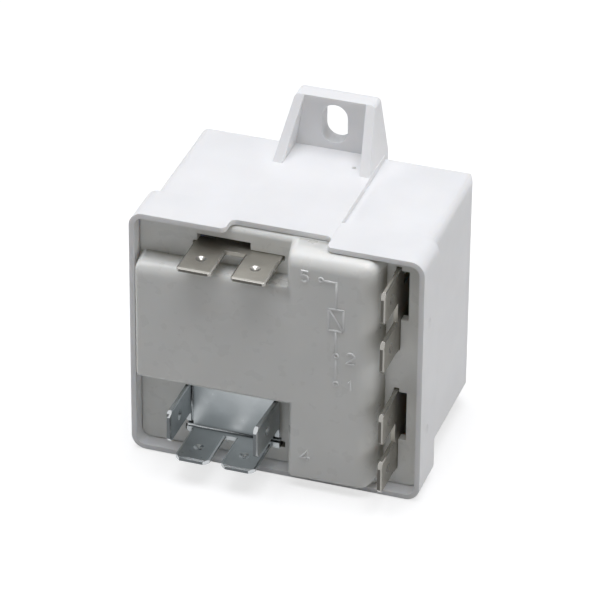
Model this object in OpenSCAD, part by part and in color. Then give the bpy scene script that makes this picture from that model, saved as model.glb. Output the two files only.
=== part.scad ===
// Motor-start potential relay: a moulded cup with a mounting ear, a front insert that carries
// the quick-connect terminals, and the coil, armature and contact arm inside.
// X runs across the front, Y runs back to the mounting face, Z is up.
// The origin is the centre of the flat rear face, which is the mounting face.

/* [Housing] */
// Width of the rear body
body_w = 51; // [50.4:0.2:56]
// Height of the rear body
body_h = 43.8; // [43.2:0.2:50]
// Depth from the front rim to the rear face
depth = 35.5; // [35:0.5:44]
// Wall of the rear body
wall = 1.1; // [0.8:0.1:1.4]
// Radius of the long edges of the rear body
body_r = 1.8; // [1.5:0.1:3]
// Radius of the upright rear edges
rear_plan_r = 3.7; // [2:0.1:4.5]
// Radius of the rear edges at top and bottom
rear_side_r = 2.2; // [1.5:0.1:3]
// How far the front collar stands out at each side
collar_step = 1.25; // [0.8:0.05:2]
// How far the collar rises above the rear body
collar_rise = 1.05; // [0.6:0.05:1.6]
// How far the collar drops below the rear body
collar_drop = 3.5; // [2.5:0.1:5]
// Depth of the collar
collar_depth = 8.6; // [8:0.1:11]
// Wall of the collar
collar_wall = 0.95; // [0.7:0.05:1.2]
// Outer corner radius of the collar
collar_r = 2.6; // [2:0.1:4]
// Width of the notch in the front edge of the top wall
notch_w = 18.3; // [12:0.1:22]
// Depth of that notch
notch_depth = 3.5; // [2:0.1:4.5]
// Rounding of the notch's two front corners
notch_flare = 2; // [1.5:0.1:3]
// Radius of the round stake marks on the collar's sides
mark_r = 1.2; // [0.8:0.1:1.6]
// Depth of those marks
mark_depth = 0.25; // [0.1:0.05:0.4]
// Radius of the small gate mark on the pad
gate_r = 0.4; // [0.3:0.05:0.6]
// Place of the gate mark, right of the middle
gate_x = 5.3; // [4:0.1:6]
// Depth of the gate mark
gate_depth = 0.6; // [0.2:0.1:0.8]

/* [Ear] */
// Width of the ear and of the raised pad at their foot
ear_w = 17.9; // [16:0.1:22]
// Width of the ear at its top
ear_top_w = 14.7; // [12:0.1:16]
// Height of the ear above the pad
ear_h = 10.1; // [9.6:0.1:14]
// Thickness of the ear's plate
ear_t = 3.2; // [2:0.1:4]
// Thickness of the two gussets
gusset_t = 1.8; // [1.2:0.1:2.4]
// How far the gussets reach forward of the rear face
gusset_reach = 10.9; // [8:0.1:14]
// How far the pad stands above the collar's top
pad_step = 0.06; // [0.05:0.01:0.4]
// Width of the mounting slot
slot_w = 4.8; // [3.5:0.1:5.5]
// Height of the mounting slot
slot_h = 7.6; // [6:0.1:8]
// Height of the slot's centre above the pad
slot_up = 5.1; // [4.6:0.1:5.4]

/* [Front insert] */
// Gap between the insert and the collar
insert_gap = 0.12; // [0.05:0.01:0.3]
// Depth of the insert's floor behind the rim
floor_depth = 2.8; // [2.4:0.1:3.4]
// Thickness of the insert's plate
plate_t = 1.8; // [1.4:0.1:2.2]
// Thickness of the insert's skirt
skirt_t = 1.3; // [1:0.1:1.8]
// How far the plateau stays behind the rim
plateau_back = 0.3; // [0.1:0.1:0.8]
// Wall of the hollow plateau
plateau_wall = 1.6; // [1.2:0.1:2]
// Height of the recess for the lower terminal
recess_h = 14; // [13.6:0.1:16]
// Height of the flat front of the plateau's left part
left_flat_h = 20.4; // [18:0.1:22]
// Radius of the left part's long top edge
left_top_r = 3.4; // [2.5:0.1:4]
// Where the plateau's right part starts, right of the middle
step_x = 2.15; // [1.5:0.05:4]
// Where the lower recess ends, right of the middle
recess_x = 2.85; // [2.4:0.05:4]
// Distance from the side terminals to the end of the plateau's flat front
flat_in = 6.3; // [6.2:0.1:9]
// Radius of the plateau's right-hand edge
right_edge_r = 5.3; // [3:0.1:6]
// Height of the sloping top edge of the right part
right_top_h = 4.1; // [3.6:0.1:4.8]
// Radius between the flat front and the slope
right_top_r = 2.9; // [2:0.1:3.4]
// Radius of the insert's own top edge
lip_r = 1.2; // [0.6:0.1:1.4]

/* [Terminals] */
// Sheet thickness of the terminals
sheet_t = 0.8; // [0.6:0.05:1]
// Width of a quick-connect tab
tab_w = 6.35; // [4.8:0.05:6.5]
// Gap between the two tabs of the coil terminal
coil_tab_gap = 3.45; // [2.5:0.05:3.6]
// Gap between the two tabs of the side terminals
side_tab_gap = 3.45; // [2.5:0.05:3.6]
// Reach of the coil terminal's tabs in front of the floor
coil_tab_reach = 9.7; // [8:0.1:11]
// Reach of the side terminals' tabs in front of the floor
side_tab_reach = 9.4; // [8:0.1:11]
// Distance from the floor to the root of the gap between tabs
gap_root = 1.5; // [1:0.1:3]
// Corner cut of the coil terminal's tabs
coil_tab_cut = 0.5; // [0.4:0.1:1.6]
// Corner cut of the side terminals' tabs
side_tab_cut = 1; // [0.4:0.1:1.6]
// Distance of the detent from the tab's tip
detent_back = 4.2; // [3:0.1:5]
// Radius of the detent
detent_r = 0.95; // [0.7:0.05:1.1]
// Width of the coined slope along a tab's sides
coin_side = 0.3; // [0.2:0.05:0.6]
// Width of the coined slope at a tab's tip
coin_tip = 0.5; // [0.3:0.05:1]
// Middle of the coil terminal, left of the insert's middle
coil_term_x = 7.6; // [6.5:0.1:7.7]
// Depth of the coil terminal below the collar's top
coil_term_down = 5.12; // [4.8:0.01:5.6]
// Distance of the side terminals from the collar's outer face
side_term_in = 5.02; // [4.92:0.02:5.4]
// Depth of the upper side terminal below the collar's top
upper_term_down = 3.4; // [3.3:0.02:3.7]
// Height of the lower side terminal above the collar's underside
lower_term_up = 4.35; // [4.2:0.05:4.9]
// Free space between a terminal and its slit
slit_gap = 0.1; // [0.05:0.01:0.15]
// How far a slit runs past each edge of its terminal
slit_over = 0.3; // [0.2:0.05:0.5]
// Width of the window beside each terminal
window_w = 1.5; // [1.2:0.1:1.8]
// Length of that window
window_len = 9.8; // [8:0.1:11]
// Start of the window from the terminal's edge
window_in = 0.45; // [0.3:0.05:1.2]

/* [Lower terminal] */
// Outer width of the folded terminal
tie_w = 17.25; // [17:0.05:18]
// Where its left side lies, left of the insert's middle
tie_left = 16.85; // [16.6:0.05:18]
// Gap between its web's top and the plateau
tie_top_gap = 0.3; // [0.2:0.05:0.5]
// Height of its lower flange above the collar's underside
tie_floor = 4.7; // [4:0.1:5]
// Reach of its side tabs in front of the floor
tie_side_reach = 11.9; // [9:0.1:13]
// Reach of its lower tabs in front of the floor
tie_low_reach = 11.2; // [10:0.1:13]
// Gap between its lower tabs
tie_gap = 2.1; // [1.6:0.1:3]
// Corner cut of its tabs
tie_cut = 1; // [0.5:0.1:1.6]
// Inner bend radius
bend_r = 0.3; // [0.2:0.05:0.6]
// Lean of the right-hand tab towards the left, in degrees
tie_lean = 3; // [0:0.5:4]
// How far the side bends run on below their tabs
corner_run = 1.7; // [1:0.1:2]
// Width of the lugs at the lower corners
lug_w = 1; // [0.8:0.05:1.05]
// Height of those lugs
lug_h = 1; // [0.8:0.05:1.2]
// How far the lugs' slots in the insert run past the terminal's sides
corner_slot = 0.7; // [0.3:0.1:1]

/* [Coil] */
// Space between the bobbin's flanges and the plate in front of them
coil_front_gap = 2.2; // [2.1:0.1:3]
// Space between the bobbin's flanges and the housing's rear wall
coil_rear_gap = 3.2; // [2.6:0.1:4]
// Width of the bobbin's flanges as a share of half the housing's inner width
flange_share = 1; // [0.94:0.01:1.01]
// Thickness of the flanges
flange_t = 1.3; // [1:0.1:1.6]
// Height left over the bobbin for the armature and the wiring
head_space = 12.3; // [12.2:0.1:15]
// Radius of the core
core_r = 4; // [3:0.1:5]
// Radius of the pole face
pole_r = 5.6; // [5.4:0.1:6.5]
// Height of the pole head
pole_h = 1.6; // [1.4:0.1:1.8]
// Radial wall of the bobbin's tube
bobbin_wall = 0.9; // [0.6:0.1:1.2]
// How far the flanges stand out beyond the winding
winding_in = 1; // [0.8:0.1:2.5]
// Thickness of the tape round the winding
tape_t = 0.3; // [0.2:0.05:0.4]
// Running clearance between parts that slide over each other
fit_gap = 0.05; // [0.03:0.01:0.08]
// Distance of the two leads from the coil's middle
lead_side = 3.6; // [3.2:0.1:4]
// Depth of the leads' start below the bobbin's upper flange
lead_down = 3; // [2.5:0.1:4]
// Radius of the leads
lead_r = 0.45; // [0.3:0.05:0.5]

/* [Magnet frame] */
// Thickness of the magnet frame
yoke_t = 1.6; // [1.4:0.1:1.8]
// How far the magnet frame stays inside the flanges at front and rear
yoke_in = 3.2; // [2.8:0.1:4]
// Space between the magnet frame and the housing's left wall
yoke_side_gap = 4.9; // [4.6:0.1:5]
// Height of the moulded ribs under the magnet frame
rib_h = 3; // [2.8:0.1:3.2]
// Size of the two prongs that guide the armature
prong_w = 3; // [2.5:0.1:3.5]

/* [Armature] */
// Thickness of the armature
arm_t = 1.6; // [1.4:0.1:1.8]
// Travel of the armature, in degrees
arm_swing = 4.5; // [3.5:0.1:4.6]
// Air left over the pole when the armature is down
pole_air = 0.2; // [0.15:0.05:0.3]
// How far the armature reaches past the coil's flange
arm_over = 0.5; // [0.4:0.05:0.6]
// How far its tail reaches past the magnet frame
tail_over = 3.7; // [3.4:0.1:3.9]
// Thickness of the insulating pusher as a share of the contacts' room
pusher_share = 0.1; // [0.09:0.002:0.11]
// Length of the pusher's flange on the armature
pusher_len = 5.5; // [5:0.1:6]
// Distance of the pusher's rivets from the armature's end
rivet_back = 3; // [2.8:0.1:3.2]
// Distance of the rivets from the middle
rivet_side = 1.7; // [1.5:0.1:1.8]
// Length of the residual shim under the armature
shim_l = 10; // [8:0.5:12]
// Width of the shim
shim_w = 6; // [5:0.5:8]

/* [Contacts] */
// Thickness of the contact arm
leaf_t = 0.7; // [0.5:0.05:0.8]
// Width of the contact arm
leaf_w = 5.2; // [4.5:0.1:5.6]
// Distance from the pivot pin to the side terminals
pivot_in = 1.9; // [1.8:0.05:2.1]
// Height of the contact face below the armature's pivot
contact_down = 5.35; // [5:0.05:5.8]
// Radius of the contacts as a share of their room
contact_share = 0.14; // [0.12:0.005:0.145]
// Thickness of the contacts
contact_t = 1; // [0.8:0.05:1.1]
// Radius of the pivot pin
pin_r = 0.7; // [0.6:0.05:0.8]
// Gap between the closed contacts
contact_gap = 0.05; // [0.03:0.01:0.08]
// Height of the contact spring
contact_spring_h = 9.8; // [9:0.1:10.5]

/* [Hidden] */
$fn = 48;
// Overshoot of cuts, and the least thickness left by an inner fillet
over = 1;

// Places of the main faces
rim_y = -depth;
floor_y = rim_y + floor_depth;
plate_y = floor_y + plate_t;
front_y = rim_y + plateau_back;
ledge_y = rim_y + collar_depth - wall;
body_top = body_h / 2;
collar_x = body_w / 2 + collar_step;
collar_top = body_top + collar_rise;
collar_bottom = -body_top - collar_drop;
collar_h = collar_top - collar_bottom;
collar_mid = (collar_top + collar_bottom) / 2;
pad_top = collar_top + pad_step;
ear_top = pad_top + ear_h;
slot_z = pad_top + slot_up;
in_x = body_w / 2 - wall;
in_z = body_top - wall;

// Outline of the insert
insert_x = collar_x - collar_wall - insert_gap;
insert_top = collar_top - collar_wall - insert_gap;
insert_bottom = collar_bottom + collar_wall + insert_gap;
insert_h = insert_top - insert_bottom;
insert_mid = (insert_top + insert_bottom) / 2;
insert_r = max(0.4, collar_r - collar_wall - insert_gap);
recess_top = insert_bottom + recess_h;
left_flat_top = recess_top + left_flat_h;

// Terminals
coil_term_top = collar_top - coil_term_down;
coil_term_w = 2 * tab_w + coil_tab_gap;
coil_term_left = -coil_term_x - coil_term_w / 2;
side_face = collar_x - side_term_in;
side_x = side_face - sheet_t;
flat_x = side_x - flat_in;
side_h = 2 * tab_w + side_tab_gap;
upper_top = collar_top - upper_term_down;
upper_bottom = upper_top - side_h;
lower_bottom = collar_bottom + lower_term_up;
lower_top = lower_bottom + side_h;
tie_front = floor_y - sheet_t;
tie_bottom = collar_bottom + tie_floor;
tie_top = recess_top - tie_top_gap;
tie_right = -tie_left + tie_w;
tie_low_w = 2 * tab_w + tie_gap;
lug_x = [-tie_left + 0.1, tie_right - 0.1 - lug_w];
lug_top = tie_bottom + 0.4;

// Magnet frame, coil and armature
leg_z = -in_z + rib_h + 0.2;
leg_top = leg_z + yoke_t;
upright_x = -in_x + yoke_side_gap;
flange_w = flange_share * in_x;
flange_d = -wall - plate_y - coil_front_gap - coil_rear_gap;
coil_x = upright_x + yoke_t + 0.3 + flange_w / 2;
coil_y = -wall - coil_rear_gap - flange_d / 2;
winding_r = min(flange_w, flange_d) / 2 - winding_in;
yoke_w = flange_d - 2 * yoke_in;
pivot_x = upright_x + yoke_t;
bobbin_h = in_z - leg_top - head_space;
bobbin_top = leg_top + bobbin_h;
pole_top = bobbin_top + fit_gap + pole_h;
pivot_z = pole_top + pole_air;
flange_x = coil_x + flange_w / 2;
arm_end = flange_x + arm_over;
arm_tail = upright_x - tail_over;
spring_x = arm_tail + 1;
lug_z = leg_top + 0.53 * bobbin_h;
prong_top = pivot_z + arm_t + 1;

// Contact arm
room = side_x - flange_x;
pin_x = side_x - pivot_in;
contact_z = pivot_z - contact_down;
contact_r = contact_share * room;
leaf_top = contact_z - contact_gap - contact_t;
leaf_z = leaf_top - leaf_t;
eye_r = pin_r + fit_gap + leaf_t;
pin_z = leaf_top - eye_r;
shank_r = contact_r / 2;
rivet_r = shank_r + 0.5;
pusher_t = pusher_share * room;
pusher_x = arm_end + fit_gap;
// How far the pusher's foot moves sideways between its two ends of travel
foot_shift = (pivot_z - leaf_top) * sin(arm_swing);
leaf_tip = pusher_x - 0.1;
finger_z = contact_z + contact_t;
finger_tip = pusher_x + pusher_t + foot_shift + 0.3;
contact_x = finger_tip + 0.2 + contact_r;
finger_w = leaf_w;
ear_gap = 0.3;
fork_front = coil_y - leaf_w / 2 - ear_gap;
fork_back = coil_y + leaf_w / 2 + ear_gap;
ear_r = pin_r + 0.9;
lower_wire_r = 0.2;
lower_spring_x = (contact_x + rivet_r + pin_x - eye_r) / 2;
lower_spring_r = (pin_x - eye_r - contact_x - rivet_r) / 2 - lower_wire_r - 0.35;
shelf_z = leaf_z - contact_spring_h;
// The pusher's round foot, its place seen from the armature's pivot and its gap to the contact arm
foot_r = pusher_t / 2;
foot_gap = 0.12;
foot_x = pusher_x + foot_r - pivot_x;
foot_z = (leaf_top + foot_gap + foot_r - pivot_z - foot_x * sin(arm_swing)) / cos(arm_swing);
pusher_w = leaf_w + 0.8;
// Screws under the magnet frame, and the spring at the armature's tail
screw_x = [coil_x - 0.35 * flange_w, coil_x + 0.35 * flange_w];
screw_r = 1.25;
head_r = 2.1;
head_h = 1.3;
rib_z = -in_z + 0.2;
upper_spring_r = 1.3;
upper_wire_r = 0.22;
tail_z = pivot_z - (pivot_x - spring_x) * sin(arm_swing);
lead_y = plate_y + 1.1;
winding_z = leg_top + flange_t;
// Tongue of the folded terminal
tongue_w = 4;
tongue_x = -8.5;
tongue_z = tie_top - 5;
winding_h = bobbin_h - 2 * flange_t;

// Extrusions along the three axes, from a start plane over a length
module along_x(x0, len) {
    translate([x0, 0, 0]) rotate([90, 0, 90]) linear_extrude(len) children();
}
module along_y(y0, len) {
    translate([0, y0 + len, 0]) rotate([90, 0, 0]) linear_extrude(len) children();
}
module along_z(z0, len) {
    translate([0, 0, z0]) linear_extrude(len) children();
}
// A box between two corners
module block(a, b) {
    translate(a) cube(b - a);
}
// A flat rectangle between two corners
module patch(a, b) {
    translate(a) square(b - a);
}
// A flat rectangle with round corners, between two corners
module round_patch(a, b, r) {
    patch([a.x + r, a.y], [b.x - r, b.y]);
    patch([a.x, a.y + r], [b.x, b.y - r]);
    for (x = [a.x + r, b.x - r], y = [a.y + r, b.y - r]) translate([x, y]) circle(r);
}
// A rod along Y
module rod_y(x, y0, z, r, len) {
    translate([x, y0, z]) rotate([-90, 0, 0]) cylinder(r = r, h = len);
}
// A bent strip seen on edge, its outer corner at the origin, with legs along the two axes
module bend(t, a, b) {
    r = bend_r + t;
    patch([r, 0], [a, t]);
    patch([0, r], [t, b]);
    difference() {
        intersection() {
            translate([r, r]) circle(r);
            square(r);
        }
        translate([r, r]) circle(bend_r);
    }
}
// Wire with round joints through a list of points
module wire(points, r) {
    for (i = [0:len(points) - 2]) {
        d = points[i + 1] - points[i];
        turn = [0, acos(d.z / norm(d)), atan2(d.y, d.x)];
        translate(points[i]) rotate(turn) cylinder(r = r, h = norm(d));
        if (i > 0) translate(points[i]) sphere(r);
    }
}
// A round spring wire along a helix about Z, with straight ends of a given length
function unit(v) = v / norm(v);
function wire_ring(c, n, t, r, k) =
    let (b = cross(t, n)) [for (i = [0:k - 1]) c + r * (cos(360 * i / k) * n + sin(360 * i / k) * b)];
module helix_wire(coil_r, wire_r, h, turns, ends) {
    sides = 6;
    steps = 14;
    n = turns * steps;
    ring = [for (i = [0:n]) [cos(90 + 360 * i / steps), sin(90 + 360 * i / steps), 0]];
    turn = [for (i = [0:n]) [coil_r * ring[i].x, coil_r * ring[i].y, h * i / n]];
    points = [if (ends > 0) turn[0] - [0, 0, ends], each turn, if (ends > 0) turn[n] + [0, 0, ends]];
    normals = [if (ends > 0) ring[0], each ring, if (ends > 0) ring[n]];
    last = len(points) - 1;
    tangents = [for (i = [0:last]) unit(points[min(last, i + 1)] - points[max(0, i - 1)])];
    rings = [for (i = [0:last]) wire_ring(points[i], normals[i], tangents[i], wire_r, sides)];
    quads = [for (j = [0:last - 1], i = [0:sides - 1]) [j * sides + i, j * sides + (i + 1) % sides]];
    polyhedron([for (r = rings) each r], [
        [for (i = [0:sides - 1]) i],
        for (q = quads) [q[0], q[0] + sides, q[1] + sides, q[1]],
        [for (i = [sides - 1:-1:0]) last * sides + i]
    ]);
}
// A quick-connect tab from the origin towards -Y, its width along X and its thickness along Z,
// with coined edges and a detent in both faces
module tab(len, cut, back) {
    w = tab_w;
    t = sheet_t;
    thin = t / 6;
    side = coin_side;
    tip = coin_tip;
    difference() {
        intersection() {
            along_z(0, t)
                polygon([[0, 0], [0, cut - len], [cut, -len], [w - cut, -len], [w, cut - len], [w, 0]]);
            along_y(-len, len) polygon([[0, thin], [side, 0], [w - side, 0], [w, thin],
                [w, t - thin], [w - side, t], [side, t], [0, t - thin]]);
            along_x(0, w) polygon([[0, 0], [tip - len, 0], [-len, thin],
                [-len, t - thin], [tip - len, t], [0, t]]);
        }
        for (face = [0, 1]) translate([w / 2, back - len, face * t])
            mirror([0, 0, face]) translate([0, 0, -0.1])
                cylinder(r1 = detent_r + 0.25, r2 = 0.2, h = 0.4);
    }
}
// Two tabs side by side on a common root that starts at the origin and ends behind the plate
module double_tab(gap, reach, cut, tail) {
    for (x = [0, tab_w + gap]) translate([x, -gap_root, 0]) tab(reach - gap_root, cut, detent_back);
    translate([0, -gap_root, 0]) cube([2 * tab_w + gap, gap_root + tail, sheet_t]);
}

// The outside of the rear body, rounded on its long edges and round the rear face
module body_shape(inset, y0, y1) {
    x = body_w / 2 - inset;
    z = body_top - inset;
    rp = max(0.4, rear_plan_r - inset);
    rs = max(0.4, rear_side_r - inset);
    intersection() {
        along_y(y0, y1 - y0) round_patch([-x, -z], [x, z], max(0.4, body_r - inset));
        along_z(-z - over, 2 * z + 2 * over) round_patch([-x, y0 - 2 * rp], [x, y1], rp);
        along_x(-x - over, 2 * x + 2 * over) round_patch([y0 - 2 * rs, -z], [y1, z], rs);
    }
}

// The ear's front outline with round top corners
module ear_outline() {
    r = 0.8;
    taper = (ear_w - ear_top_w) / 2 / ear_h;
    lean = atan(taper);
    cx = ear_top_w / 2 + taper * r - r / cos(lean);
    cz = ear_top - r;
    tx = cx + r * cos(lean);
    tz = cz + r * sin(lean);
    foot = ear_w / 2;
    polygon([[-foot, pad_top - 2], [foot, pad_top - 2], [foot, pad_top], [tx, tz],
        [cx, ear_top], [-cx, ear_top], [-tx, tz], [-foot, pad_top]]);
    for (s = [-1, 1]) translate([s * cx, cz]) circle(r);
}

module ear() {
    gap = ear_w / 2 - gusset_t;
    top_gap = ear_top_w / 2 - gusset_t;
    difference() {
        intersection() {
            along_y(-gusset_reach - over, gusset_reach + over) ear_outline();
            along_x(-ear_w, 2 * ear_w) polygon([[0, 0], [0, ear_top + over], [-ear_t, ear_top + over],
                [-ear_t, ear_top], [-gusset_reach, pad_top], [-gusset_reach, 0]]);
        }
        // Space between the gussets
        along_y(-gusset_reach - 2 * over, gusset_reach + 2 * over - ear_t) polygon([
            [-gap, pad_top], [gap, pad_top], [top_gap, ear_top + over], [-top_gap, ear_top + over]]);
        // Mounting slot
        along_y(-ear_t - over, ear_t + 2 * over) {
            r = slot_w / 2;
            patch([-r, slot_z - slot_h / 2 + r], [r, slot_z + slot_h / 2 - r]);
        }
        for (s = [-1, 1])
            rod_y(0, -ear_t - over, slot_z + s * (slot_h - slot_w) / 2, slot_w / 2, ear_t + 2 * over);
    }
}

module housing() color([0.93, 0.94, 0.96]) difference() {
    pad_x = ear_w / 2 + 0.1;
    ball = (mark_r * mark_r + mark_depth * mark_depth) / (2 * mark_depth);
    union() {
        body_shape(0, rim_y + collar_depth / 2, 0);
        along_y(rim_y, collar_depth)
            round_patch([-collar_x, collar_bottom], [collar_x, collar_top], collar_r);
        block([-pad_x, rim_y + notch_depth - over, body_top - wall], [pad_x, -rear_side_r, pad_top]);
        block([-ear_w / 2, -gusset_reach, body_top - rear_side_r - wall], [ear_w / 2, 0, pad_top]);
        ear();
    }
    // Hollow of the rear body
    body_shape(wall, rim_y, -wall);
    // Hollow of the collar, down to the ledge that the insert seats on
    along_y(rim_y - over, ledge_y - rim_y + over)
        round_patch([-collar_x + collar_wall, collar_bottom + collar_wall],
            [collar_x - collar_wall, collar_top - collar_wall], max(0.5, collar_r - collar_wall));
    // Notch in the front edge of the top wall, its front corners rounded off
    along_z(collar_top - collar_wall - over, 3 * over + pad_step) {
        round_patch([-notch_w / 2, rim_y - 3 * over], [notch_w / 2, rim_y + notch_depth], 1.2);
        for (side = [0, 1]) mirror([side, 0]) translate([notch_w / 2, rim_y]) difference() {
            patch([-0.5, -3 * over], [notch_flare * 0.875, notch_flare * 0.875]);
            translate([notch_flare * 0.875, notch_flare * 0.875]) circle(notch_flare);
        }
    }
    // Gate mark
    translate([gate_x, -gusset_reach * 0.76, pad_top - gate_depth]) cylinder(r = gate_r, h = over);
    // Round stake marks on both sides
    for (s = [-1, 1], z = [collar_mid + collar_h * 0.215, collar_mid - collar_h * 0.237])
        translate([s * (collar_x + ball - mark_depth), rim_y + 3.4, z]) sphere(ball);
}

// Left part of the plateau, flat in front with a long round top edge
module plateau_left() {
    centre = [front_y + left_top_r, left_flat_top];
    intersection() {
        along_x(-insert_x, step_x + insert_x + over) {
            patch([front_y, recess_top], [plate_y, left_flat_top]);
            intersection() {
                translate(centre) circle(left_top_r, $fn = 96);
                patch([front_y, left_flat_top - over],
                    [min(floor_y + 0.2, centre.x), left_flat_top + left_top_r]);
            }
        }
        along_y(front_y - over, depth) patch([-insert_x, insert_bottom], [step_x + over, insert_top]);
    }
}

// Right part of the plateau, from the bottom to the top of the insert, with round top and right edges
module plateau_right() {
    low_z = insert_top - right_top_h;
    back_y = plate_y + over;
    c = sqrt(0.5);
    // Start and end of the slope, which rises at 45 degrees, and the middle of the lip's round
    start = [front_y + right_top_r * (1 - c), low_z + right_top_r * c];
    rise = start.y - start.x;
    lip = [insert_top - rise + lip_r * (2 * c - 1), insert_top - lip_r];
    end = lip + lip_r * [-c, c];
    intersection() {
        along_x(step_x, insert_x) {
            patch([front_y, insert_bottom], [plate_y, low_z]);
            intersection() {
                translate([front_y + right_top_r, low_z]) circle(right_top_r, $fn = 96);
                patch([front_y, low_z - over], [front_y + right_top_r, start.y]);
            }
            polygon([start, end, [lip.x, end.y], [back_y, end.y], [back_y, low_z - over],
                [start.x, low_z - over]]);
            intersection() {
                translate(lip) circle(lip_r);
                patch([end.x, end.y], [lip.x, insert_top]);
            }
            patch([lip.x, end.y - 0.1], [back_y, insert_top]);
        }
        along_z(insert_bottom, insert_h) {
            patch([step_x, front_y], [flat_x, plate_y]);
            intersection() {
                translate([flat_x, front_y + right_edge_r]) circle(right_edge_r, $fn = 96);
                patch([flat_x - over, front_y],
                    [flat_x + right_edge_r, min(floor_y + 0.2, front_y + right_edge_r)]);
            }
        }
        difference() {
            along_y(front_y, depth) patch([step_x, insert_bottom], [insert_x, insert_top]);
            along_y(front_y - over, depth)
                patch([step_x - over, insert_bottom - over], [recess_x, recess_top]);
        }
    }
}

// The slit that a blade passes through, with the window beside it, the blade lying along the first axis
module slit(len) {
    patch([-slit_over, -sheet_t - slit_gap], [len + slit_over, slit_gap]);
    patch([window_in, 0], [window_in + window_len, window_w]);
}

module insert_shell() difference() {
    pocket_y = front_y + plateau_wall;
    union() {
        intersection() {
            along_y(floor_y, ledge_y - floor_y)
                round_patch([-insert_x, insert_bottom], [insert_x, insert_top], insert_r);
            along_x(-insert_x - over, 2 * insert_x + 2 * over) {
                patch([floor_y, insert_bottom - over], [ledge_y, insert_top - lip_r]);
                patch([floor_y + lip_r, insert_bottom - over], [ledge_y, insert_top]);
                translate([floor_y + lip_r, insert_top - lip_r]) circle(lip_r);
            }
        }
        intersection() {
            union() {
                plateau_left();
                plateau_right();
            }
            along_y(rim_y, depth)
                round_patch([-insert_x, insert_bottom], [insert_x, insert_top], insert_r);
        }
    }
    // Hollow behind the plate, inside the skirt
    along_y(plate_y, ledge_y - plate_y + over)
        round_patch([-insert_x + skirt_t, insert_bottom + skirt_t],
            [insert_x - skirt_t, insert_top - skirt_t], max(0.4, insert_r - skirt_t));
    // Pockets behind the plateau
    block([-insert_x + skirt_t + 0.4, pocket_y, recess_top + plateau_wall],
        [recess_x + plateau_wall + 0.1, plate_y + over, left_flat_top - 0.3]);
    block([recess_x + plateau_wall, pocket_y, insert_bottom + skirt_t + 0.4],
        [flat_x - 0.3, plate_y + over, insert_top - right_top_h - 0.3]);
    // Slits and windows of the three live terminals
    along_y(rim_y - over, depth / 2) translate([coil_term_left, coil_term_top]) slit(coil_term_w);
    for (top = [upper_top, lower_top])
        along_y(rim_y - over, depth / 2) translate([side_face, top]) rotate(-90) slit(side_h);
    // Slots for the folded terminal's two corner lugs and for its clenched tongue
    for (x = [[-tie_left - corner_slot, lug_x[0] + lug_w + slit_gap],
        [lug_x[1] - slit_gap, tie_right + corner_slot]])
        block([x[0], floor_y - over, lug_top - lug_h - slit_gap],
            [x[1], plate_y + over, lug_top + slit_gap]);
    block([tongue_x - tongue_w / 2 - slit_gap, floor_y - over, tongue_z - slit_gap],
        [tongue_x + tongue_w / 2 + slit_gap, plate_y + over, tongue_z + sheet_t + slit_gap]);
}

// Ribs and bosses that reach back from the plate: two under the magnet frame, a stop over the armature
// and a shelf with a peg for the contact spring
module insert_ribs() {
    stop_z = pivot_z + arm_t + (coil_x + 10.5 - pivot_x) * sin(arm_swing) + 0.15;
    difference() {
        for (x = screw_x) block([x - 2.8, plate_y - 0.5, rib_z], [x + 2.8, coil_y + yoke_w / 2, leg_z]);
        for (x = screw_x) {
            translate([x, coil_y, rib_z - over]) cylinder(r = screw_r + fit_gap, h = rib_h + 2 * over);
            translate([x, coil_y, rib_z - over])
                cylinder(r = head_r + 0.1, h = over + 0.1 + head_h + fit_gap);
        }
    }
    block([coil_x + 3.5, plate_y - 0.5, stop_z], [coil_x + 10.5, fork_front - 2.2, stop_z + 2]);
    block([coil_x + 6.3, plate_y - 0.5, stop_z + 1.9], [coil_x + 7.7, fork_front - 4.2, stop_z + 4]);
    shelf = lower_spring_r + lower_wire_r + 0.7;
    block([lower_spring_x - shelf, plate_y - 0.5, shelf_z - 1.6],
        [lower_spring_x + shelf, coil_y + shelf, shelf_z]);
    translate([lower_spring_x, coil_y, shelf_z - 0.1])
        cylinder(r = lower_spring_r - lower_wire_r - 0.25, h = 1.3);
}

module front_insert() color([0.84, 0.85, 0.85]) {
    insert_shell();
    insert_ribs();
}

module terminal_coil() color([0.8, 0.77, 0.7]) difference() {
    translate([coil_term_left, floor_y, coil_term_top - sheet_t]) union() {
        double_tab(coil_tab_gap, coil_tab_reach, coil_tab_cut, plate_t);
        translate([3, plate_t, 0]) cube([10, 3.2, sheet_t]);
    }
    // Eyelet for the coil's lead
    translate([coil_x - lead_side, lead_y + 0.9, coil_term_top - sheet_t - over])
        cylinder(r = lead_r + 0.1, h = sheet_t + 2 * over);
}

// Upper side terminal, with a finger that holds the fixed contact over the contact arm
module terminal_upper() color([0.8, 0.77, 0.7]) difference() {
    back = coil_y + finger_w / 2;
    union() {
        translate([side_face, floor_y, upper_bottom]) rotate([0, -90, 0])
            double_tab(side_tab_gap, side_tab_reach, side_tab_cut, plate_t);
        block([side_x, plate_y - 0.1, finger_z + bend_r + sheet_t], [side_face, back, upper_top - 4]);
        translate([side_face, coil_y - finger_w / 2, finger_z]) mirror([1, 0, 0]) along_y(0, finger_w)
            bend(sheet_t, side_face - finger_tip, bend_r + sheet_t + 1);
    }
    translate([contact_x, coil_y, finger_z - over])
        cylinder(r = shank_r + fit_gap, h = sheet_t + 2 * over);
}

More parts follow.
